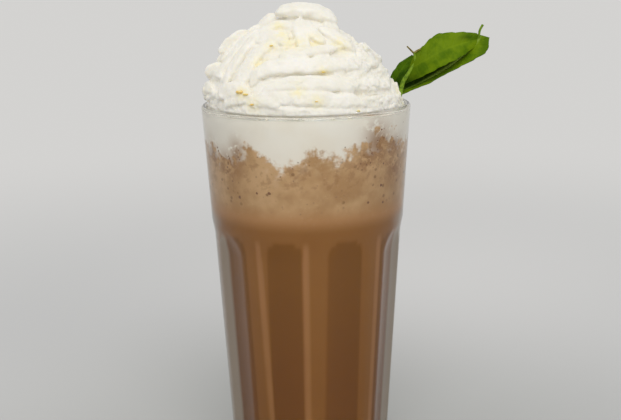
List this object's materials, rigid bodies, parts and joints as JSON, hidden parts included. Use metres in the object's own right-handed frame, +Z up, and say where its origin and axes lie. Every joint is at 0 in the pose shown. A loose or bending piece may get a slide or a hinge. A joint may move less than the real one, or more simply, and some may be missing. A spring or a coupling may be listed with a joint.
{
  "type": "chocolate mint frappe",
  "caption": "Iced chocolate drink in a tall fluted glass, with a froth layer, a piped whipped cream swirl and a mint sprig at the rim.",
  "frame": {"origin": "centre of the glass's foot, on the surface that it stands on", "axes": "+Z up along the glass's axis, -Y towards the front as shown, +X to the right, where the mint is"},
  "size_m": [0.1224, 0.0878, 0.2069],
  "materials": {
    "glass": "clear pressed glass, polished",
    "drink": "milky chocolate liquid",
    "froth": "tan froth with brown specks and bubbles",
    "cream": "soft whipped cream",
    "mint_stem": "pale green stem",
    "mint_leaf": "fresh green leaf with veins"
  },
  "bodies": {
    "root": {"glass": "glass", "drink": "drink", "froth": "froth", "whipped_cream": "cream", "mint_stem": "mint_stem", "mint_leaf_large": "mint_leaf", "mint_leaf_small": "mint_leaf"}
  },
  "joints": []
}
